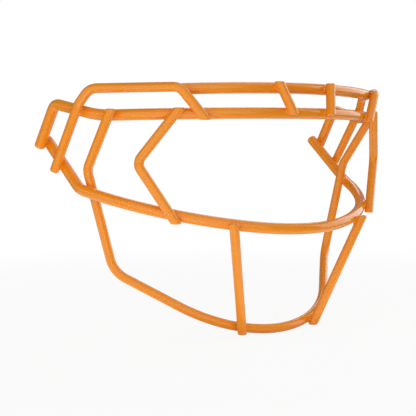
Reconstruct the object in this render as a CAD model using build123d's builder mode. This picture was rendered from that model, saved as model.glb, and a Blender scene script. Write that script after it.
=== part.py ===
from build123d import *
import math
import os

# Football helmet facemask: round wires bent to shape, lapped and welded where they cross.
# Millimetres. +X is the wearer's left, -Y is forward, +Z is up. Angles are in degrees.
# The origin lies on the floor under the guard as worn, midway across and midway from front to back.
# Across, back and height are distances from it. Along is measured on a bar from its middle.

# Wire
heavy_wire_diameter = 6.35
light_wire_diameter = 5.4
set_down = 0.15  # how deep a lapped wire is pressed into the one it crosses
end_easing = 0.9  # radius on the rim of a sawn end
saw_waste = 5.0  # length of wire left past a level saw cut, to be sawn off
saw_across = 14.0  # width of what the saw takes away there

# Weld beads, one ring of metal in the crevice round each crossing
bead_waist = 2.15  # radius half way between the two wires
bead_flare = 2.35  # radius where it runs out on a wire
bead_climb = 1.8  # how far it climbs each wire

# Upper brow bar, one arc with a short straight at each end
brow_spacing = 14.2  # from the lower brow bar's middle up to the upper one's
upper_brow_front = -47.5
upper_brow_pitch = -4.2  # how steeply the arc's plane climbs towards the back
upper_brow_radius = 142.0
upper_brow_half_arc = 70.39  # length of wire in the arc, each side of the middle
upper_brow_straight = 4.0

# Lower brow bar: an arc over the eyes, side runs to the temples, legs down behind them
lower_brow_front = -52.2
lower_brow_height = 128.2
lower_brow_pitch = -1.3
lower_brow_radius = 113.5
lower_brow_half_arc = 111.92
lower_brow_straight = 10.0  # from the arc to the corner where the side run starts
lower_brow_side_bend = 45.0
temple_corner_across = 109.7
temple_corner_back = 39.9
temple_corner_rise = 5.7  # above the lower brow bar's middle
temple_corner_bend = 5.0
temple_leg_seat = 4.0  # along the mid bar's leg, from its free end to the lower brow bar's leg
temple_leg_overhang = 2.4

# Mid bar: an arc of two radii round the nose and cheeks, legs that rise behind it
mid_front = -55.5
mid_height = 63.4
mid_pitch = 15.7
mid_nose_radius = 84.0
mid_nose_sweep = 24.5
mid_cheek_radius = 131.5
mid_cheek_sweep = 41.5
mid_straight = 8.0
mid_corner_bend = 12.5
mid_leg_across = 105.1
mid_leg_back = 58.2
mid_leg_drop = 14.7  # from the lower brow bar's middle down to the end of the leg

# Jaw bar: an arc round the chin, up inside the mid bar, then forward to the lower brow bar
jaw_front = -28.9
jaw_pitch = 34.7
jaw_radius = 72.7
jaw_sweep = 51.4
jaw_straight = 42.0
jaw_corner_bend = 16.0
jaw_crossing_along = 135.0  # on the mid bar
jaw_knee_rise = 11.4  # from that crossing up to the knee
jaw_knee_bend = 8.0
jaw_top_along = 114.8  # on the lower brow bar
jaw_top_overhang = 7.3

# Temple loops: foot on the mid bar's leg, over both brow bars, down to the lower one
loop_foot_seat = 24.6  # along the mid bar's leg, from its free end
loop_foot_overhang = 3.5
loop_crossing_along = 134.5  # on the lower brow bar's side run
loop_kink_rise = 5.5
loop_kink_bend = 12.0
loop_rear_inward = 3.5  # from the kink to the rear corner
loop_rear_forward = 6.2
loop_rear_drop = 0.7  # below the upper brow bar's middle
loop_rear_bend = 9.0
loop_corner_inset = 0.1  # from the upper brow bar's end
loop_corner_rise = 1.0
loop_corner_bend = 6.5
loop_corner_weld = 2.0  # from the upper brow bar's end to the weld that holds it
loop_front_along = 64.5  # on the lower brow bar
loop_front_overhang = 4.4

# Cheek vees
vee_top_along = 78.0  # on the lower brow bar
vee_top_overhang = 4.5
vee_bend_across = 91.1
vee_bend_back = -16.4
vee_bend_share = 0.577  # of the height from the mid bar to the lower brow bar
vee_bend = 6.0
vee_foot_along = 81.2  # on the mid bar
vee_foot_overhang = 5.1

# Brow struts, from the upper to the lower brow bar
brow_strut_top_along = 18.3
brow_strut_top_overhang = 1.9
brow_strut_foot_along = 14.0
brow_strut_foot_overhang = 3.0

# Chin struts, from the mid bar to the jaw bar
chin_strut_top_along = 47.6
chin_strut_top_overhang = 3.8
chin_strut_foot_along = 26.6
chin_strut_foot_overhang = 2.0

heavy = heavy_wire_diameter / 2
light = light_wire_diameter / 2
bend_share = 0.48  # most of a run that the bend at either end of it may take
end_share = 0.95  # the same for a run that ends in an arc or a sawn end

upper_brow_height = lower_brow_height + brow_spacing
jaw_height = light  # the lowest wire stands on the floor


# Centrelines. Each is worked out on the wearer's right, where X is negative, and mirrored.


def arc_from(start, heading, radius, turn):
    """(across, back) at the end of an arc that leaves start at a heading and turns further back."""
    first, last = math.radians(heading), math.radians(heading + turn)
    return (
        start[0] + radius * (math.sin(last) - math.sin(first)),
        start[1] + radius * (math.cos(first) - math.cos(last)),
    )


def straight_from(start, heading, length):
    """(across, back) at the end of a straight run."""
    angle = math.radians(heading)
    return (start[0] + length * math.cos(angle), start[1] + length * math.sin(angle))


def on_arc_plane(front, height, pitch, place):
    """Point in space of an (across, back) place in the pitched plane of a bar's front arc."""
    across, back = place
    angle = math.radians(pitch)
    return Vector(-across, front + back * math.cos(angle), height + back * math.sin(angle))


def opposite(point):
    """The same point on the wearer's left."""
    return Vector(-point.X, point.Y, point.Z)


def front_arc(end, middle):
    """Arc across the front of a bar, from one side to the other."""
    return ThreePointArc(end, middle, opposite(end))


def bends(points, radii):
    """The radius of each bend, less where its two runs are too short for it."""
    last = len(points) - 2
    fitted = []
    for place, radius in enumerate(radii):
        before = points[place + 1] - points[place]
        after = points[place + 2] - points[place + 1]
        room = min(
            before.length * (end_share if place == 0 else bend_share),
            after.length * (end_share if place + 1 == last else bend_share),
        )
        half_turn = math.radians(before.get_angle(after) / 2)
        fitted.append(min(radius, room / math.tan(half_turn)))
    return fitted


def bent_run(points, radii):
    """A run of straights with a bend at each corner."""
    FilletPolyline(points, radius=bends(points, radii))


def both_sides(points, radii):
    """The same run on each side of a bar."""
    bent_run(points, radii)
    bent_run([opposite(point) for point in points], radii)


def along_bar(bar, distance):
    """Point and direction on a bar's centreline, this far from its middle towards the wearer's right."""
    share = distance / bar.length
    place = 0.5 - share if (bar @ 0).X < 0 else 0.5 + share
    return bar @ place, bar % place


def contact_plane(on_bar, normal, bar_radius):
    """Plane where a wire touches a bar, its Z axis pointing from the bar to the wire."""
    normal = normal.normalized()
    return Plane(on_bar + normal * (bar_radius - set_down / 2), z_dir=normal)


def seat(bar, bar_radius, along, start, radius, outside=1):
    """Where a straight run from start crosses a bar with their centrelines a lap apart.

    The run passes outside the bar, or inside it with outside=-1. Returns the point on the run's
    centreline and the plane of contact, whose Z axis points from the bar to the run.
    """
    on_bar, direction = along_bar(bar, along)
    outward = Vector(on_bar.X, on_bar.Y - temple_corner_back, 0) * outside
    crossing = on_bar
    for _ in range(8):
        normal = direction.cross(crossing - start).normalized()
        if normal.dot(outward) < 0:
            normal = normal * -1
        crossing = on_bar + normal * (bar_radius + radius - set_down)
    return crossing, contact_plane(on_bar, normal, bar_radius)


def two_seats(first, second, radius):
    """Seats of one straight run on two bars, each given as (bar, bar radius, along)."""
    start = along_bar(first[0], first[2])[0]
    for _ in range(8):
        far, far_contact = seat(*second, start, radius)
        start, near_contact = seat(*first, far, radius)
    return start, near_contact, far, far_contact


def beyond(start, end, distance):
    """The point this far past end on the line from start."""
    return end + (end - start).normalized() * distance


def uncut(start, end):
    """The end of a run from start as it is before the saw levels it."""
    return beyond(start, end, saw_waste)


def wire_of(line):
    """One wire from the pieces of a centreline."""
    return line.wires()[0]


# Mid bar
mid_nose_end = arc_from((0, 0), 0, mid_nose_radius, mid_nose_sweep)
mid_cheek_middle = arc_from(mid_nose_end, mid_nose_sweep, mid_cheek_radius, mid_cheek_sweep / 2)
mid_cheek_end = arc_from(mid_nose_end, mid_nose_sweep, mid_cheek_radius, mid_cheek_sweep)
mid_corner = straight_from(mid_cheek_end, mid_nose_sweep + mid_cheek_sweep, mid_straight)
nose_end, cheek_middle, cheek_end, leg_corner = (
    on_arc_plane(mid_front, mid_height, mid_pitch, place)
    for place in (mid_nose_end, mid_cheek_middle, mid_cheek_end, mid_corner)
)
mid_leg_end = Vector(-mid_leg_across, mid_leg_back, lower_brow_height - mid_leg_drop)
with BuildLine() as mid_line:
    front_arc(nose_end, (0, mid_front, mid_height))
    ThreePointArc(nose_end, cheek_middle, cheek_end)
    ThreePointArc(opposite(nose_end), opposite(cheek_middle), opposite(cheek_end))
    both_sides([cheek_end, leg_corner, mid_leg_end], [mid_corner_bend])
mid_bar = wire_of(mid_line)
mid_half = mid_bar.length / 2

# Lower brow bar
lower_brow_sweep = math.degrees(lower_brow_half_arc / lower_brow_radius)
lower_brow_end = arc_from((0, 0), 0, lower_brow_radius, lower_brow_sweep)
lower_brow_turn = straight_from(lower_brow_end, lower_brow_sweep, lower_brow_straight)
brow_end, side_corner = (
    on_arc_plane(lower_brow_front, lower_brow_height, lower_brow_pitch, place)
    for place in (lower_brow_end, lower_brow_turn)
)
temple_corner = Vector(
    -temple_corner_across, temple_corner_back, lower_brow_height + temple_corner_rise
)
leg_crossing, leg_contact = seat(mid_bar, heavy, mid_half - temple_leg_seat, temple_corner, heavy)
temple_leg_end = beyond(temple_corner, leg_crossing, temple_leg_overhang)
with BuildLine() as lower_brow_line:
    front_arc(brow_end, (0, lower_brow_front, lower_brow_height))
    both_sides(
        [brow_end, side_corner, temple_corner, temple_leg_end],
        [lower_brow_side_bend, temple_corner_bend],
    )
lower_brow = wire_of(lower_brow_line)

# Upper brow bar
upper_brow_sweep = math.degrees(upper_brow_half_arc / upper_brow_radius)
upper_arc_end = arc_from((0, 0), 0, upper_brow_radius, upper_brow_sweep)
upper_brow_end = straight_from(upper_arc_end, upper_brow_sweep, upper_brow_straight)
upper_turn, upper_end = (
    on_arc_plane(upper_brow_front, upper_brow_height, upper_brow_pitch, place)
    for place in (upper_arc_end, upper_brow_end)
)
with BuildLine() as upper_brow_line:
    front_arc(upper_turn, (0, upper_brow_front, upper_brow_height))
    Line(upper_turn, upper_end)
    Line(opposite(upper_turn), opposite(upper_end))
upper_brow = wire_of(upper_brow_line)
upper_half = upper_brow.length / 2

# Jaw bar
jaw_arc_end = arc_from((0, 0), 0, jaw_radius, jaw_sweep)
jaw_turn = straight_from(jaw_arc_end, jaw_sweep, jaw_straight)
chin_end, jaw_corner = (
    on_arc_plane(jaw_front, jaw_height, jaw_pitch, place) for place in (jaw_arc_end, jaw_turn)
)
jaw_crossing, jaw_cross_contact = seat(mid_bar, heavy, jaw_crossing_along, jaw_corner, light, -1)
jaw_knee = beyond(jaw_corner, jaw_crossing, jaw_knee_rise)
jaw_top, jaw_top_contact = seat(lower_brow, heavy, jaw_top_along, jaw_knee, light)
jaw_end = beyond(jaw_knee, jaw_top, jaw_top_overhang)
with BuildLine() as jaw_line:
    front_arc(chin_end, (0, jaw_front, jaw_height))
    both_sides(
        [chin_end, jaw_corner, jaw_knee, uncut(jaw_knee, jaw_end)],
        [jaw_corner_bend, jaw_knee_bend],
    )
jaw_bar = wire_of(jaw_line)

# Temple loop
loop_foot, loop_foot_contact, loop_crossing, loop_cross_contact = two_seats(
    (mid_bar, heavy, mid_half - loop_foot_seat), (lower_brow, heavy, loop_crossing_along), light
)
loop_corner, _, loop_front, loop_front_contact = two_seats(
    (upper_brow, heavy, upper_half - loop_corner_inset), (lower_brow, heavy, loop_front_along), light
)
loop_kink = beyond(loop_foot, loop_crossing, loop_kink_rise)
loop_rear = Vector(
    loop_kink.X + loop_rear_inward, loop_kink.Y - loop_rear_forward, upper_brow_height - loop_rear_drop
)
loop_end = beyond(loop_corner, loop_front, loop_front_overhang)
with BuildLine() as loop_line:
    bent_run(
        [
            beyond(loop_crossing, loop_foot, loop_foot_overhang),
            loop_kink,
            loop_rear,
            beyond(loop_front, loop_corner, loop_corner_rise),
            uncut(loop_corner, loop_end),
        ],
        [loop_kink_bend, loop_rear_bend, loop_corner_bend],
    )
on_brow = along_bar(upper_brow, upper_half - loop_corner_weld)[0]
on_loop = wire_of(loop_line).closest_points(Vertex(on_brow))[0]
loop_corner_contact = contact_plane(on_brow, on_loop - on_brow, heavy)

# Cheek vee
vee_bend_height = mid_height + vee_bend_share * (lower_brow_height - mid_height)
vee_corner = Vector(-vee_bend_across, vee_bend_back, vee_bend_height)
vee_top, vee_top_contact = seat(lower_brow, heavy, vee_top_along, vee_corner, light)
vee_foot, vee_foot_contact = seat(mid_bar, heavy, vee_foot_along, vee_corner, light)
vee_ends = [
    beyond(vee_corner, vee_top, vee_top_overhang),
    beyond(vee_corner, vee_foot, vee_foot_overhang),
]
with BuildLine() as vee_line:
    bent_run(
        [uncut(vee_corner, vee_ends[0]), vee_corner, uncut(vee_corner, vee_ends[1])],
        [vee_bend],
    )

# Brow strut
strut_top, strut_top_contact, strut_foot, strut_foot_contact = two_seats(
    (upper_brow, heavy, brow_strut_top_along), (lower_brow, heavy, brow_strut_foot_along), light
)
brow_strut_ends = [
    beyond(strut_foot, strut_top, brow_strut_top_overhang),
    beyond(strut_top, strut_foot, brow_strut_foot_overhang),
]
with BuildLine() as brow_strut_line:
    Line(uncut(strut_foot, brow_strut_ends[0]), uncut(strut_top, brow_strut_ends[1]))

# Chin strut
chin_top, chin_top_contact, chin_foot, chin_foot_contact = two_seats(
    (mid_bar, heavy, chin_strut_top_along), (jaw_bar, light, chin_strut_foot_along), light
)
chin_strut_ends = [
    beyond(chin_foot, chin_top, chin_strut_top_overhang),
    beyond(chin_top, chin_foot, chin_strut_foot_overhang),
]
with BuildLine() as chin_strut_line:
    Line(uncut(chin_foot, chin_strut_ends[0]), uncut(chin_top, chin_strut_ends[1]))


# Solids


def bent_wire(line, radius, level_tops=(), level_feet=()):
    """Round wire swept along a centreline, the rims of its two sawn ends eased.

    An end is sawn square to the wire unless the point where its centreline stops is given: in
    level_tops for a level cut that faces up, or in level_feet for one that faces down.
    """
    path = wire_of(line)
    with BuildPart() as wire:
        with BuildSketch(Plane(path @ 0, z_dir=path % 0)):
            Circle(radius)
        sweep(path=path)
        for faces_up, ends in ((1, level_tops), (-1, level_feet)):
            for end in ends:
                with Locations(Plane(end, z_dir=(0, 0, faces_up))):
                    Box(
                        saw_across,
                        saw_across,
                        saw_waste + radius,
                        align=(Align.CENTER, Align.CENTER, Align.MIN),
                        mode=Mode.SUBTRACT,
                    )
        fillet(wire.faces().filter_by(GeomType.PLANE).edges(), end_easing)
    return wire.part


def weld_bead(contact, lower, upper):
    """Ring of weld metal round a crossing, hollow-sided, filling the crevice between two wires.

    Chips of it that would hang past the eased rim of a sawn end are cleared away.
    """
    with BuildPart() as spool:
        with BuildSketch(Plane.XZ):
            with BuildLine():
                Line((0, -bead_climb), (bead_flare, -bead_climb))
                ThreePointArc((bead_flare, -bead_climb), (bead_waist, 0), (bead_flare, bead_climb))
                Line((bead_flare, bead_climb), (0, bead_climb))
                Line((0, bead_climb), (0, -bead_climb))
            make_face()
        revolve(axis=Axis.Z)
    with BuildPart() as bead:
        add(spool.part.moved(contact.location))
        add(lower, mode=Mode.SUBTRACT)
        add(upper, mode=Mode.SUBTRACT)
        for chip in bead.solids().sort_by(SortBy.VOLUME)[:-1]:
            add(chip, mode=Mode.SUBTRACT)
    return bead.part


# Bars that run from side to side

with BuildPart() as mid_bar_part:
    add(bent_wire(mid_line, heavy))

with BuildPart() as upper_brow_part:
    add(bent_wire(upper_brow_line, heavy))

with BuildPart() as lower_brow_part:
    add(bent_wire(lower_brow_line, heavy))
    add(mid_bar_part.part, mode=Mode.SUBTRACT)

with BuildPart() as jaw_bar_part:
    add(bent_wire(jaw_line, light, level_tops=[jaw_end, opposite(jaw_end)]))
    add(lower_brow_part.part, mode=Mode.SUBTRACT)
    add(mid_bar_part.part, mode=Mode.SUBTRACT)

# Wires of one side, each let into the bars that it crosses

with BuildPart() as temple_loop_part:
    add(bent_wire(loop_line, light, level_feet=[loop_end]))
    add(mid_bar_part.part, mode=Mode.SUBTRACT)
    add(lower_brow_part.part, mode=Mode.SUBTRACT)
    add(upper_brow_part.part, mode=Mode.SUBTRACT)

with BuildPart() as cheek_vee_part:
    add(bent_wire(vee_line, light, vee_ends[:1], vee_ends[1:]))
    add(lower_brow_part.part, mode=Mode.SUBTRACT)
    add(mid_bar_part.part, mode=Mode.SUBTRACT)

with BuildPart() as brow_strut_part:
    add(bent_wire(brow_strut_line, light, brow_strut_ends[:1], brow_strut_ends[1:]))
    add(upper_brow_part.part, mode=Mode.SUBTRACT)
    add(lower_brow_part.part, mode=Mode.SUBTRACT)

with BuildPart() as chin_strut_part:
    add(bent_wire(chin_strut_line, light, chin_strut_ends[:1], chin_strut_ends[1:]))
    add(mid_bar_part.part, mode=Mode.SUBTRACT)
    add(jaw_bar_part.part, mode=Mode.SUBTRACT)

# Weld beads of one side, grouped by the wire that they hold

beads = {
    "temple_leg_weld": [(leg_contact, mid_bar_part, lower_brow_part)],
    "jaw_bar_welds": [
        (jaw_cross_contact, mid_bar_part, jaw_bar_part),
        (jaw_top_contact, lower_brow_part, jaw_bar_part),
    ],
    "temple_loop_welds": [
        (loop_foot_contact, mid_bar_part, temple_loop_part),
        (loop_cross_contact, lower_brow_part, temple_loop_part),
        (loop_corner_contact, upper_brow_part, temple_loop_part),
        (loop_front_contact, lower_brow_part, temple_loop_part),
    ],
    "cheek_vee_welds": [
        (vee_top_contact, lower_brow_part, cheek_vee_part),
        (vee_foot_contact, mid_bar_part, cheek_vee_part),
    ],
    "brow_strut_welds": [
        (strut_top_contact, upper_brow_part, brow_strut_part),
        (strut_foot_contact, lower_brow_part, brow_strut_part),
    ],
    "chin_strut_welds": [
        (chin_top_contact, mid_bar_part, chin_strut_part),
        (chin_foot_contact, jaw_bar_part, chin_strut_part),
    ],
}

# One side's pieces stand on the wearer's right; the left ones mirror them

one_side = {
    "temple_loop": temple_loop_part.part,
    "cheek_vee": cheek_vee_part.part,
    "brow_strut": brow_strut_part.part,
    "chin_strut": chin_strut_part.part,
}
for group, crossings in beads.items():
    with BuildPart() as ring_group:
        for contact, lower, upper in crossings:
            add(weld_bead(contact, lower.part, upper.part))
    one_side[group] = ring_group.part

pieces = {
    "upper_brow_bar": upper_brow_part.part,
    "lower_brow_bar": lower_brow_part.part,
    "mid_bar": mid_bar_part.part,
    "jaw_bar": jaw_bar_part.part,
}
for name, piece in one_side.items():
    with BuildPart() as left_piece:
        mirror(piece, about=Plane.YZ)
    pieces[name + "_right"] = piece
    pieces[name + "_left"] = left_piece.part

os.makedirs("parts", exist_ok=True)
for name, piece in pieces.items():
    piece.label = name
    export_step(piece, f"parts/{name}.step")
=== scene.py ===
import math

import bpy
import mathutils
import numpy as np
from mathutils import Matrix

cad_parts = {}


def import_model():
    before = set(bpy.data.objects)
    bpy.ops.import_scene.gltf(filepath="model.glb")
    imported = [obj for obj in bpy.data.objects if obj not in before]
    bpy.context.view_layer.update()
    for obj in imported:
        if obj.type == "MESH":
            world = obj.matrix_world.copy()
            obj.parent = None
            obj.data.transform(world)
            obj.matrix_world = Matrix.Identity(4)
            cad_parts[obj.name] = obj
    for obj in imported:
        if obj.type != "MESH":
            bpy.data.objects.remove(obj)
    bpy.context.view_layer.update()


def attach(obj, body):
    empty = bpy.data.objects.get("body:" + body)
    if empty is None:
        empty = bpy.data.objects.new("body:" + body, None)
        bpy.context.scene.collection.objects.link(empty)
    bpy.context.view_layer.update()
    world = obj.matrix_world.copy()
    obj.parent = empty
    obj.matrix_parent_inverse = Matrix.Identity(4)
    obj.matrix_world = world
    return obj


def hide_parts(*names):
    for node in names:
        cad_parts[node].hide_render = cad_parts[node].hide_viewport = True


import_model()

# Welded wire guard for the front of a football helmet, dipped in glossy orange.
# The wires are tubes carried along their bent centrelines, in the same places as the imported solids.
# Lengths are written in millimetres and turned into metres where a mesh is made. The camera and the
# lamps are in metres. X is across, negative on the wearer's right, Y runs back and Z up.

MM = 0.001

# Wire
HEAVY = 6.35 / 2  # radius, with the coat
LIGHT = 5.4 / 2
WITHIN = 0.016  # taken off each radius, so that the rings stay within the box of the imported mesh
RING = 40  # points round a wire
STEP = 0.9  # spacing of the rings along a wire
END_EASING = 0.9  # radius on the rim of a sawn end
EASING_LIMIT = 0.8  # most of the wire's radius that the easing takes
RIM_RINGS = 9
LEVELLING = 7.0  # length of wire over which the rings turn from a level cut to square ones
LEVELLING_RINGS = 8

# Welds
WELD_TURNS = 64  # points round a weld
WELD_RISE = 13  # points from one wire up to the other
WELD_GAP = 1.5  # how far apart the two wires' surfaces are where the weld runs out
WELD_BITE = 0.06  # how far its two edges reach into the wires
WELD_DISTANCES = (0.2, 6.0, 400)  # nearest, farthest and number of those tried from the contact
STEEPEST = 0.93  # share of a wire's radius beyond which its side is too steep for the weld
WELD_EASING = 7  # points over which the weld's outline is smoothed
NEAR_CUT = 12.0  # a weld this close to a level end keeps inside its cut
CUT_MARGIN = 0.5
PLACE_PULL = 0.5  # weight of the distance from the expected place when a crossing is looked for

# Coat
SKIN_SHARE = 0.1  # of the skin in the tone and in the bump, beside the drift and the ripple
DULLING = 0.06  # roughness that the drift adds
GLAZE, GLAZE_RIPPLE = 0.18, 0.1  # the clear layer's weight, and what the ripple adds to it

# Floor and lamps
GLOSS_SHARE = 0.12  # how much of the white background the coat mirrors; more turns its rims pale
WORLD_LIGHT = 0.10
FLOOR_HALF = 6000.0  # half the floor's width
FLOOR_DROP = 0.05  # how far the floor lies below the guard
NEAR_FLOOR, FAR_FLOOR = 0.12, 0.5  # metres from the middle where it starts and ends darkening
NEAR_WHITE, FAR_WHITE = 0.9, 0.12  # its tones there
FLOOR_GLARE = 0.9  # how white the near floor shows to the camera, beside its shadows
GLOW_DROP = 0.00003  # metres from the guard down to the floor lamps, which lie above the floor
SOFTBOX_DISTANCE = 1.6


# Centrelines


def unit(v):
    """Vectors over their own lengths."""
    v = np.asarray(v, float)
    return v / np.linalg.norm(v, axis=-1, keepdims=True)


def front_arc(front, height, pitch, arcs):
    """Half of a bar's front, from its middle to the wearer's right.

    The curve lies in a plane through (0, front, height) that climbs backwards at the pitch. Each arc,
    given as (radius, sweep), turns further back: across grows by radius times the change of the
    heading's sine, and back grows by radius times the drop of its cosine.
    """
    across, back, heading, places = 0.0, 0.0, 0.0, [(0.0, 0.0)]
    for radius, sweep in arcs:
        steps = max(3, int(radius * math.radians(sweep) / STEP))
        turned = np.radians(np.linspace(heading, heading + sweep, steps))
        run_across = across + radius * (np.sin(turned) - math.sin(turned[0]))
        run_back = back + radius * (math.cos(turned[0]) - np.cos(turned))
        places += list(zip(run_across[1:], run_back[1:]))
        across, back, heading = run_across[-1], run_back[-1], heading + sweep
    outward, backward = np.array(places).T
    climb = math.radians(pitch)
    return np.stack(
        [-outward, front + backward * math.cos(climb), height + backward * math.sin(climb)], -1
    )


def rounded(points, radii):
    """A run of straights whose corners are arcs of the given radii.

    At each corner the arc starts and ends radius times tan(turn / 2) from it, and its centre lies on
    the bisector. A point on the arc is the centre plus the radius turned from one run to the next.
    """
    points = [np.array(p, float) for p in points]
    path = [points[0]]
    for before, corner, after, radius in zip(points, points[1:], points[2:], radii):
        come, go = unit(corner - before), unit(after - corner)
        turn = math.acos(float(np.clip(come @ go, -1, 1)))
        reach = radius * math.tan(turn / 2)
        centre = corner + unit(go - come) * radius / math.cos(turn / 2)
        start, side = corner - come * reach, unit(corner - come * reach - centre)
        angles = np.linspace(0, turn, max(6, int(radius * turn / STEP * 2)))[:, None]
        path += list(centre + radius * (np.cos(angles) * side + np.sin(angles) * come))
    path.append(points[-1])
    return np.array(path)


def lengths(path):
    """Length of wire from the start of a path to each of its points."""
    return np.concatenate([[0], np.cumsum(np.linalg.norm(np.diff(path, axis=0), axis=1))])


def evenly(path):
    """The same path with points about one step apart, by length."""
    length = lengths(path)
    keep = np.concatenate([[True], np.diff(length) > 1e-6])
    path, length = path[keep], length[keep]
    places = np.linspace(0, length[-1], max(4, int(round(length[-1] / STEP))))
    return np.stack([np.interp(places, length, path[:, k]) for k in range(3)], -1)


def mirrored(path):
    """The same path on the other side of the wearer's middle."""
    return path * (-1, 1, 1)


def across_both(half):
    """A whole bar from its right half, which starts in the middle."""
    return np.concatenate([half[::-1], mirrored(half)[1:]])


def bar(arc, points, radii=()):
    """A bar with a front arc and, from the arc's end, a run of straights and bends on each side."""
    return evenly(across_both(np.concatenate([arc, rounded([arc[-1], *points], radii)[1:]])))


paths = {
    "upper_brow_bar": bar(front_arc(-47.5, 142.4, -4.2, [(142.0, 28.4)]), [(-71.06, -28.56, 141.01)]),
    "lower_brow_bar": bar(
        front_arc(-52.2, 128.2, -1.3, [(113.5, 56.5)]),
        [(-100.17, 6.98, 126.86), (-109.70, 39.90, 133.90), (-111.29, 56.00, 109.17)],
        [45.0, 5.0],
    ),
    "mid_bar": bar(
        front_arc(-55.5, 63.4, 15.7, [(84.0, 24.5), (131.5, 41.5)]),
        [(-103.69, 22.52, 85.33), (-105.10, 58.20, 113.50)],
        [12.5],
    ),
    "jaw_bar": bar(
        front_arc(-28.9, 2.7, 34.7, [(72.7, 51.4)]),
        [(-83.02, 20.57, 36.95), (-99.92, 20.90, 96.72), (-100.78, -6.32, 130.32)],
        [16.0, 8.0],
    ),
}
one_side = {
    "temple_loop": rounded(
        [
            (-110.14, 40.66, 95.40),
            (-109.00, 14.45, 133.13),
            (-105.50, 8.25, 141.70),
            (-74.24, -33.32, 141.94),
            (-61.76, -40.59, 124.19),
        ],
        [12.0, 9.0, 6.5],
    ),
    "cheek_vee": rounded(
        [(-73.58, -32.78, 130.83), (-91.10, -16.40, 100.80), (-73.76, -29.53, 67.62)], [6.0]
    ),
    "brow_strut": rounded([(-19.49, -51.13, 145.73), (-13.81, -57.72, 127.18)], []),
    "chin_strut": rounded([(-49.17, -48.61, 68.11), (-27.25, -28.91, 1.66)], []),
}
for name, path in one_side.items():
    paths[name + "_right"] = evenly(path)
    paths[name + "_left"] = evenly(mirrored(path))

heavy_bars = ("upper_brow_bar", "lower_brow_bar", "mid_bar")
half_thickness = {name: HEAVY if name in heavy_bars else LIGHT for name in paths}

# Whether a wire's first and last ends are sawn level, where the others are sawn square to the wire
level_ends = {name: (False, False) for name in heavy_bars}
level_ends["jaw_bar"] = (True, True)
for name in one_side:
    level_ends[name + "_right"] = level_ends[name + "_left"] = (name != "temple_loop", True)


# Surfaces


def mesh_object(name, points, quads, fans=()):
    """A smooth object from points in millimetres, four-sided faces and three-sided ones."""
    faces = np.asarray(quads).tolist() + np.asarray(fans).tolist()
    mesh = bpy.data.meshes.new(name)
    mesh.from_pydata((np.asarray(points) * MM).tolist(), [], faces)
    mesh.shade_smooth()
    mesh.update()
    thing = bpy.data.objects.new(name, mesh)
    bpy.context.scene.collection.objects.link(thing)
    return thing


def ring_faces(count, around):
    """Corners of the four-sided faces between rings that follow each other.

    Point j of ring i has the number i times around plus j, and a ring's last point meets its first.
    """
    i, j = np.meshgrid(np.arange(count - 1), np.arange(around), indexing="ij")
    k = (j + 1) % around
    corners = [i * around + j, i * around + k, (i + 1) * around + k, (i + 1) * around + j]
    return np.stack(corners, -1).reshape(-1, 4)


def across_frames(path):
    """The direction along the path at each point, and two more, square to it and to each other.

    The first of the two is the direction that the whole path runs along least, less its part along
    the path, over its own length. A round wire may have any twist, so this one does.
    """
    tangent = unit(np.gradient(path, axis=0))
    least = np.linalg.svd(tangent, full_matrices=False)[2][-1]
    side = unit(least - tangent * (tangent @ least)[:, None])
    return tangent, side, np.cross(tangent, side)


def rim(end, outward, cut, around, radius):
    """The eased rim of a sawn end, as rings from the flat of the cut to the round of the wire.

    The wall meets the cut at the angle alpha, whose cosine is minus the product of the wall's and the
    cut's normals. From their corner the easing takes the length easing / tan(alpha / 2) of the cut
    and as much of the wall, and between the two it is a conic with the corner's weight sin(alpha / 2),
    which is a circular arc.
    """
    lean = around @ cut
    alpha = math.pi - np.arccos(np.clip(lean, -1, 1))
    taken = np.minimum(END_EASING / np.tan(alpha / 2), EASING_LIMIT * radius)[:, None]
    corner = end + radius * (around - (lean / (outward @ cut))[:, None] * outward)
    inward = -unit(around - lean[:, None] * cut)
    on_cut, on_wall = corner + taken * inward, corner - taken * outward
    t = np.linspace(0, 1, RIM_RINGS)[:, None, None]
    weight = np.sin(alpha / 2)[:, None]
    shares = ((1 - t) ** 2, 2 * t * (1 - t) * weight, t**2)
    places = (on_cut, corner, on_wall)
    return sum(share * place for share, place in zip(shares, places)) / sum(shares)


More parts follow.
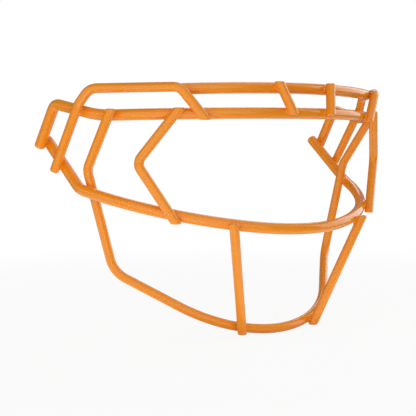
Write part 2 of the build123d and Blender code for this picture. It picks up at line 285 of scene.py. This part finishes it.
def wire(name, path, radius, level):
    """A coated wire: a circle carried along the path, between two sawn ends.

    A cut is square to the wire or level. From its rim the rings turn to square ones: each point goes
    the same share of the way from its own place on the rim to the first square ring.
    """
    radius = radius - WITHIN
    length = lengths(path)
    total = length[-1]
    tangent, side, up = across_frames(path)
    angle = np.linspace(0, 2 * math.pi, RING, endpoint=False)[:, None]
    rims, turning = [], []
    for at, sign, is_level in ((0, -1, level[0]), (-1, 1, level[1])):
        outward = tangent[at] * sign
        cut = np.array((0.0, 0.0, math.copysign(1.0, outward[2]))) if is_level else outward
        around = np.cos(angle) * side[at] + np.sin(angle) * up[at]
        rings = rim(path[at], outward, cut, around, radius)
        from_end = (path[at] - rings[-1]) @ outward
        share = np.linspace(0, 1, LEVELLING_RINGS + 1)[1:, None]
        rims.append(rings)
        turning.append(from_end + (LEVELLING - from_end) * share)
    steps = max(2, int((total - 2 * LEVELLING) / STEP))
    square = np.linspace(LEVELLING, total - LEVELLING, steps)[1:-1]
    places = np.concatenate(
        [turning[0], np.repeat(square[:, None], RING, 1), total - turning[1][::-1]]
    )
    middle = places.mean(1)

    def at_middle(values):
        return np.stack([np.interp(middle, length, values[:, k]) for k in range(3)], -1)[:, None]

    circle = np.cos(angle) * at_middle(side) + np.sin(angle) * at_middle(up)
    slide = (places - middle[:, None])[..., None] * at_middle(tangent)
    wall = at_middle(path) + unit(circle) * radius + slide
    rings = np.concatenate([rims[0], wall, rims[1][::-1]])
    count = len(rings)
    quads = ring_faces(count, RING)
    points = np.concatenate([rings.reshape(-1, 3), path[:1], path[-1:]])
    first, last, end = count * RING, count * RING + 1, (count - 1) * RING
    ring = np.arange(RING)
    after = (ring + 1) % RING
    fans = np.concatenate(
        [
            np.stack([np.full(RING, first), after, ring], -1),
            np.stack([np.full(RING, last), end + ring, end + after], -1),
        ]
    )
    return mesh_object(name, points, quads, fans)


# Welds


def crossing(lower, upper, near):
    """Where two wires cross, close to the place that is given.

    Returns the lower wire's nearest centreline point, the directions of both wires there, and the
    unit vector from the lower wire to the upper one.
    """
    gap = np.linalg.norm(lower[:, None] - upper[None], axis=-1)
    gap = gap + np.linalg.norm(upper - np.array(near), axis=-1)[None] * PLACE_PULL
    a, b = np.unravel_index(np.argmin(gap), gap.shape)
    run_a = unit(lower[min(a + 1, len(lower) - 1)] - lower[max(a - 1, 0)])
    run_b = unit(upper[min(b + 1, len(upper) - 1)] - upper[max(b - 1, 0)])
    return lower[a], run_a, run_b, unit(upper[b] - lower[a])


def weld(lower, upper, lower_radius, upper_radius, near):
    """Points of one weld, a hollow ring in the crevice round a crossing.

    In the direction theta round the normal, the lower wire's surface falls away from the contact as
    r - sqrt(r^2 - (d sin(theta - phi))^2) at distance d, with phi the wire's own direction, and the
    upper one's rises in the same way. The ring reaches out to the distance where the two are
    WELD_GAP apart, and its profile between them is a curve of second degree drawn inwards to the
    place where they are a third of that apart.
    """
    on_lower, run_lower, run_upper, normal = crossing(lower, upper, near)
    contact = on_lower + normal * lower_radius
    x = unit(run_lower - normal * (run_lower @ normal))
    y = np.cross(normal, x)
    theta = np.linspace(0, 2 * math.pi, WELD_TURNS, endpoint=False)
    sine_lower = np.abs(np.sin(theta))
    phi = math.atan2(run_upper @ y, run_upper @ x)
    sine_upper = np.abs(np.sin(theta - phi))
    distance = np.linspace(*WELD_DISTANCES)[:, None]

    def fall(radius, sine):
        return radius - np.sqrt(np.clip(radius**2 - (distance * sine) ** 2, 1e-6, None))

    down, rise = fall(lower_radius, sine_lower), fall(upper_radius, sine_upper)
    blocked = distance * sine_lower > STEEPEST * lower_radius
    blocked |= distance * sine_upper > STEEPEST * upper_radius
    out = np.argmax((down + rise > WELD_GAP) | blocked, axis=0)
    inner = np.argmax((down + rise > WELD_GAP / 3) | blocked, axis=0)
    column = np.arange(WELD_TURNS)
    reach, waist = distance[out, 0], distance[inner, 0]
    smooth = np.hanning(WELD_EASING) / np.hanning(WELD_EASING).sum()
    half = WELD_EASING // 2

    def eased(values):
        return np.convolve(np.concatenate([values[-half:], values, values[:half]]), smooth, "valid")

    low = -down[out, column] - WELD_BITE
    high = rise[out, column] + WELD_BITE
    middle = (rise[inner, column] - down[inner, column]) / 2
    t = np.linspace(0, 1, WELD_RISE)[:, None]
    start, bend, finish = (1 - t) ** 2, 2 * t * (1 - t), t**2
    radial = (start + finish) * eased(reach) + bend * eased(waist)
    height = start * eased(low) + bend * eased(middle) + finish * eased(high)
    spread = np.cos(theta)[None, :, None] * x + np.sin(theta)[None, :, None] * y
    return contact + spread * radial[..., None] + normal * height[..., None]


def within_cut(ring, path, level):
    """The same weld, with no point past a level end of the wire that it holds.

    Its Z stops a margin inside the cut.
    """
    middle = ring.reshape(-1, 3).mean(0)
    for end, is_level in zip(path[[0, -1]], level):
        if is_level and np.linalg.norm(end - middle) < NEAR_CUT:
            bound = end[2] + math.copysign(CUT_MARGIN, middle[2] - end[2])
            keep_inside = np.maximum if middle[2] > end[2] else np.minimum
            ring[..., 2] = keep_inside(ring[..., 2], bound)
    return ring


def weld_group(name, rings):
    """All the welds of one wire as one object, each grid closed round the crossing."""
    faces = ring_faces(WELD_RISE, WELD_TURNS)
    quads = [faces + number * WELD_RISE * WELD_TURNS for number in range(len(rings))]
    points = [ring.reshape(-1, 3) for ring in rings]
    return mesh_object(name, np.concatenate(points), np.concatenate(quads))


# Materials


class Socket:
    """One output of a node. Arithmetic on it adds Math nodes."""

    def __init__(self, sheet, output):
        self.sheet, self.output = sheet, output

    def math(self, operation, first, second):
        return self.sheet.node("ShaderNodeMath", {"operation": operation}, {0: first, 1: second})

    def __add__(self, other):
        return self.math("ADD", self, other)

    def __radd__(self, other):
        return self.math("ADD", other, self)

    def __mul__(self, other):
        return self.math("MULTIPLY", self, other)

    def __rmul__(self, other):
        return self.math("MULTIPLY", other, self)


class Sheet:
    """The nodes of a material or of the world."""

    def __init__(self, owner):
        owner.use_nodes = True
        self.owner = owner
        self.nodes = owner.node_tree.nodes
        self.links = owner.node_tree.links
        self.nodes.clear()

    def node(self, kind, settings=None, values=None, out=0):
        """Adds a node: its settings first, then the values or links of its sockets."""
        made = self.nodes.new(kind)
        for key, value in (settings or {}).items():
            if key == "stops":
                ramp = made.color_ramp
                while len(ramp.elements) < len(value):
                    ramp.elements.new(0.5)
                for element, (place, colour) in zip(ramp.elements, value):
                    element.position, element.color = place, (*colour, 1.0)
            else:
                setattr(made, key, value)
        for key, value in (values or {}).items():
            socket = made.inputs[key]
            if isinstance(value, Socket):
                self.links.new(value.output, socket)
            elif socket.type == "RGBA" and len(value) == 3:
                socket.default_value = (*value, 1.0)
            else:
                socket.default_value = value
        return Socket(self, made.outputs[out]) if len(made.outputs) else None

    def surface(self, shader, output="ShaderNodeOutputMaterial"):
        """Ends the sheet with its output node."""
        self.node(output, {}, {"Surface": shader})
        return self.owner

    def background_seen(self):
        """1 for the camera's rays and GLOSS_SHARE for glossy and clear ones, 0 for the rest."""
        camera, gloss, clear = (
            self.node("ShaderNodeLightPath", out=f"Is {ray} Ray")
            for ray in ("Camera", "Glossy", "Transmission")
        )
        return camera + (gloss + clear) * GLOSS_SHARE


def coat(name, colour, shade, gloss, grain):
    """Glossy dipped coat.

    It drifts between two tones over a few centimetres, ripples over a few millimetres, and has the
    fine skin of a cured dip.
    """
    sheet = Sheet(bpy.data.materials.new(name))
    place = sheet.node("ShaderNodeTexCoord", out="Object")
    drift = sheet.node("ShaderNodeTexNoise", {}, {"Vector": place, "Scale": 28.0, "Detail": 3.0})
    skin = sheet.node("ShaderNodeTexNoise", {}, {"Vector": place, "Scale": 900.0, "Detail": 2.0})
    ripple = sheet.node("ShaderNodeTexNoise", {}, {"Vector": place, "Scale": 170.0, "Detail": 2.0})
    tone = sheet.node(
        "ShaderNodeValToRGB",
        {"stops": [(0.3, shade), (0.7, colour)]},
        {"Fac": drift * (1 - SKIN_SHARE) + skin * SKIN_SHARE},
    )
    height = ripple * (1 - SKIN_SHARE) + skin * SKIN_SHARE
    bump = sheet.node(
        "ShaderNodeBump", {}, {"Height": height, "Strength": grain, "Distance": 0.0001}
    )
    shader = sheet.node(
        "ShaderNodeBsdfPrincipled",
        {},
        {
            "Base Color": tone,
            "Roughness": gloss + drift * DULLING,
            "IOR": 1.45,
            "Coat Weight": GLAZE + ripple * GLAZE_RIPPLE,
            "Coat Roughness": 0.04,
            "Normal": bump,
        },
    )
    return sheet.surface(shader)


coated_wire = coat("coated_wire", (0.97, 0.310, 0.006), (0.95, 0.298, 0.005), 0.09, 0.03)
coated_weld = coat("coated_weld", (0.96, 0.302, 0.006), (0.93, 0.290, 0.005), 0.11, 0.05)


# The guard

for name, path in paths.items():
    piece = wire("wire_" + name, path, half_thickness[name], level_ends[name])
    piece.data.materials.append(coated_wire)
    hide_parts(name)
    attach(piece, "root")

# The crossings on the wearer's right: the wire beneath, the wire laid over it, and about where
held_by = {
    "temple_leg_weld": [("mid_bar", "lower_brow_bar", (-111, 54, 111))],
    "jaw_bar_welds": [
        ("mid_bar", "jaw_bar", (-97, 21, 86)),
        ("lower_brow_bar", "jaw_bar", (-100, -3, 126)),
    ],
    "temple_loop_welds": [
        ("mid_bar", "temple_loop", (-110, 39, 99)),
        ("lower_brow_bar", "temple_loop", (-109, 18, 129)),
        ("upper_brow_bar", "temple_loop", (-75, -32, 142)),
        ("lower_brow_bar", "temple_loop", (-63, -39, 127)),
    ],
    "cheek_vee_welds": [
        ("lower_brow_bar", "cheek_vee", (-76, -31, 127)),
        ("mid_bar", "cheek_vee", (-76, -28, 72)),
    ],
    "brow_strut_welds": [
        ("upper_brow_bar", "brow_strut", (-19, -52, 143)),
        ("lower_brow_bar", "brow_strut", (-15, -57, 129)),
    ],
    "chin_strut_welds": [
        ("mid_bar", "chin_strut", (-48, -47, 64)),
        ("jaw_bar", "chin_strut", (-28, -30, 4)),
    ],
}
for group, crossings in held_by.items():
    for side, sign in (("right", 1), ("left", -1)):
        rings = []
        for lower, upper, near in crossings:
            if upper in one_side:
                upper = upper + "_" + side
            ring = weld(
                paths[lower],
                paths[upper],
                half_thickness[lower],
                half_thickness[upper],
                (near[0] * sign, near[1], near[2]),
            )
            rings.append(within_cut(ring, paths[upper], level_ends[upper]))
        node = group + "_" + side
        piece = weld_group("fillet_" + node, rings)
        piece.data.materials.append(coated_weld)
        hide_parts(node)
        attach(piece, "root")


# Stage


def aimed(name, data, place, direction):
    """An object at a place whose own -Z looks along the direction, with its X level."""
    holder = bpy.data.objects.new(name, data)
    bpy.context.scene.collection.objects.link(holder)
    back = -unit(direction)
    right = unit(np.cross((0, 0, 1), back))
    columns = np.stack([right, np.cross(back, right), back, place], -1)
    holder.matrix_world = mathutils.Matrix([*columns.tolist(), [0, 0, 0, 1]])
    return holder


def area_light(name, place, aim, size, radiance):
    """A plain lamp of the given radiance, which the camera doesn't see."""
    lamp = bpy.data.lights.new(name, "AREA")
    lamp.shape = "RECTANGLE"
    lamp.size, lamp.size_y = size
    lamp.energy = radiance * math.pi * size[0] * size[1]
    holder = aimed(name, lamp, place, np.array(aim, float) - np.array(place, float))
    holder.visible_camera = False


def floor():
    """A wide plain floor, white to the camera but for a soft shadow.

    To the light it turns darker away from the guard, which keeps the far side of the coat deep.
    """
    corners = np.array([(-1, -1, 0), (1, -1, 0), (1, 1, 0), (-1, 1, 0)]) * FLOOR_HALF
    plate = mesh_object("floor", corners - (0, 0, FLOOR_DROP), [(0, 1, 2, 3)])
    sheet = Sheet(bpy.data.materials.new("white_floor"))
    seen = sheet.background_seen()
    place = sheet.node("ShaderNodeTexCoord", out="Object")
    far = sheet.node("ShaderNodeVectorMath", {"operation": "LENGTH"}, {0: place}, out="Value")
    fading = sheet.node(
        "ShaderNodeMapRange",
        {"interpolation_type": "SMOOTHSTEP"},
        {"Value": far, "From Min": NEAR_FLOOR, "From Max": FAR_FLOOR},
    )
    greys = [(0.0, (NEAR_WHITE,) * 3), (1.0, (FAR_WHITE,) * 3)]
    tone = sheet.node("ShaderNodeValToRGB", {"stops": greys}, {"Fac": fading})
    matt = sheet.node("ShaderNodeBsdfDiffuse", {}, {"Color": tone})
    bright = sheet.node("ShaderNodeEmission", {}, {"Color": (1, 1, 1), "Strength": 1.0})
    glare = FLOOR_GLARE + fading * (1 - FLOOR_GLARE)
    shader = sheet.node("ShaderNodeMixShader", {}, {0: seen * glare, 1: matt, 2: bright})
    plate.data.materials.append(sheet.surface(shader))


def world():
    """White to the camera, in part to the gloss, and dim as light."""
    sheet = Sheet(bpy.data.worlds.new("studio"))
    dim = sheet.node("ShaderNodeBackground", {}, {"Color": (1, 1, 1), "Strength": WORLD_LIGHT})
    white = sheet.node("ShaderNodeBackground", {}, {"Color": (1, 1, 1), "Strength": 1.0})
    shader = sheet.node("ShaderNodeMixShader", {}, {0: sheet.background_seen(), 1: dim, 2: white})
    bpy.context.scene.world = sheet.surface(shader, "ShaderNodeOutputWorld")


def camera():
    """The photograph's view: its place, direction and lens."""
    made = bpy.data.cameras.new("camera")
    made.sensor_width = 36.0
    made.lens = 90.865
    made.clip_start, made.clip_end = 0.01, 50.0
    place, direction = (-0.4021, -0.4944, 0.1156), (0.5997, 0.7973, -0.0685)
    bpy.context.scene.camera = aimed("camera", made, place, direction)


def softbox(name, azimuth, radiance, width, height, foot=0.0):
    """A lamp that stands back from the guard and faces it, and rises from its foot.

    Azimuth 0 is straight in front and 90 the wearer's left.
    """
    turn, up = math.radians(azimuth), foot + height / 2
    place = (SOFTBOX_DISTANCE * math.sin(turn), -SOFTBOX_DISTANCE * math.cos(turn), up)
    area_light(name, place, (0, 0, up), (width, height), radiance)


def floor_glow(name, middle, size, radiance):
    """A lamp that lies on the floor and faces up, for the light that a white floor gives back.

    It looks a hair off the vertical, so that its sides follow X and Y.
    """
    area_light(name, (*middle, -GLOW_DROP), (middle[0], middle[1] + 1e-6, 1.0), size, radiance)


floor()
world()
camera()
softbox("front_left_softbox", -51, 1.05, 5.0, 1.6)
softbox("back_left_softbox", -125, 0.55, 0.9, 0.8)
softbox("right_softbox", 84, 1.6, 2.1, 1.4)
softbox("back_right_softbox", 135, 1.6, 0.9, 1.7, 0.9)
area_light("top_softbox", (0.25, -0.55, 1.5), (0, 0, 0.1), (2.4, 1.7), 0.65)

# The floor lamps leave out the strip that the jaw bar shades where it touches the floor
floor_glow("back_floor_glow", (-0.12, 0.0925), (1.0, 0.195), 0.50)
floor_glow("front_floor_glow", (-0.12, -0.08), (1.0, 0.07), 0.55)
floor_glow("left_floor_glow", (-0.57, -0.36), (0.9, 0.58), 1.00)

bpy.context.scene.view_settings.view_transform = "Standard"
